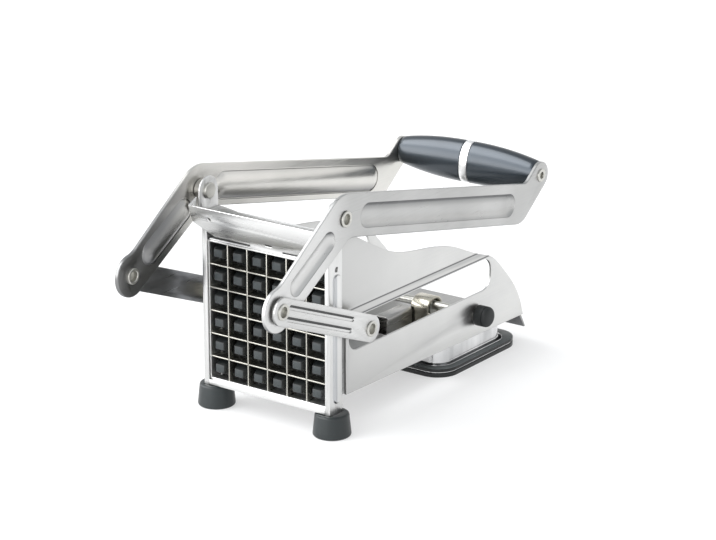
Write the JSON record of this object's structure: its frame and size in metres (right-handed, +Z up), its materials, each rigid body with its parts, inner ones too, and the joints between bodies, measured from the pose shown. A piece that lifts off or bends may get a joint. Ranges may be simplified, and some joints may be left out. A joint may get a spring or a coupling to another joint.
{
  "type": "french fry cutter",
  "caption": "Tabletop french fry cutter: a double lever drives a studded pusher through a square blade grid, held down by front feet and a rear suction cup.",
  "frame": {"origin": "middle of the footprint at table height, centred on the overall box in X and Y", "axes": "+Z up, the blade grid faces -Y, +Y towards the tail and the grip, X across the body"},
  "size_m": [0.0944, 0.237, 0.1204],
  "materials": {
    "body_sheet": "satin brushed stainless sheet",
    "arm_sheet": "satin stainless, pressed panels",
    "blade_steel": "bright ground edges",
    "pin_steel": "plated, slightly yellow",
    "strap_steel": "olive passivated",
    "ring_chrome": "polished",
    "grip_plastic": "glossy black",
    "pusher_plastic": "satin black",
    "knob_plastic": "matte black",
    "foot_rubber": "black rubber"
  },
  "bodies": {
    "base": {"side_plate_left": "body_sheet", "side_plate_right": "body_sheet", "front_post_left": "body_sheet", "front_post_right": "body_sheet", "foot_left": "foot_rubber", "foot_right": "foot_rubber", "bottom_cross_member": "body_sheet", "top_cross_member": "body_sheet", "floor_plate": "body_sheet", "blade_frame": "body_sheet", "vertical_blades": "blade_steel", "horizontal_blades": "blade_steel", "insert_flange": "body_sheet", "pivot_pins": "pin_steel", "pivot_spacers": "pin_steel", "suction_rim": "foot_rubber", "suction_cup": "body_sheet", "membrane": "foot_rubber", "hump_channel": "body_sheet"},
    "lever": {"arm_left": "arm_sheet", "arm_right": "arm_sheet", "grip_left": "grip_plastic", "grip_right": "grip_plastic", "grip_ring": "ring_chrome", "grip_rod": "pin_steel", "grip_screws": "pin_steel", "arm_pins": "pin_steel"},
    "pusher": {"pusher_block": "pusher_plastic", "pusher_bracket": "arm_sheet", "pusher_axle": "pin_steel", "axle_sleeves": "pin_steel", "axle_clips": "pin_steel", "bracket_screws": "pin_steel"},
    "links": {"link_left": "arm_sheet", "link_right": "arm_sheet", "link_rivets": "pin_steel"},
    "crank": {"crank_shaft": "pin_steel", "crank_cam": "pin_steel", "crank_knob": "knob_plastic"},
    "lifter": {"lift_strap": "strap_steel", "membrane_stem": "pin_steel"}
  },
  "joints": [
    {"name": "lever_hinge", "type": "hinge", "parent": "base", "child": "lever", "pos_m": [0, -0.05735, 0.1086], "axis": [1, 0, 0], "range_deg": [0, 83]},
    {"name": "pusher_slide", "type": "slide", "parent": "base", "child": "pusher", "axis": [0, 1, 0], "range_m": [0, 0.08008]},
    {"name": "link_hinge", "type": "hinge", "parent": "pusher", "child": "links", "pos_m": [0, -0.04033, 0.051], "axis": [1, 0, 0], "range_deg": [0, 19.01]},
    {"name": "suction_crank_hinge", "type": "hinge", "parent": "base", "child": "crank", "pos_m": [0, 0.06175, 0.028], "axis": [1, 0, 0], "range_deg": [0, 180]},
    {"name": "suction_lift_slide", "type": "slide", "parent": "base", "child": "lifter", "axis": [0, 0, 1], "range_m": [0, 0.0025], "deforming": ["membrane"]}
  ],
  "couplings": [
    {"joint": "pusher_slide", "follows": "lever_hinge", "m_per_rad": 0.055274},
    {"joint": "link_hinge", "follows": "lever_hinge", "ratio": 0.22894},
    {"joint": "suction_crank_hinge", "follows": "suction_lift_slide", "rad_per_m": 1256.6}
  ]
}
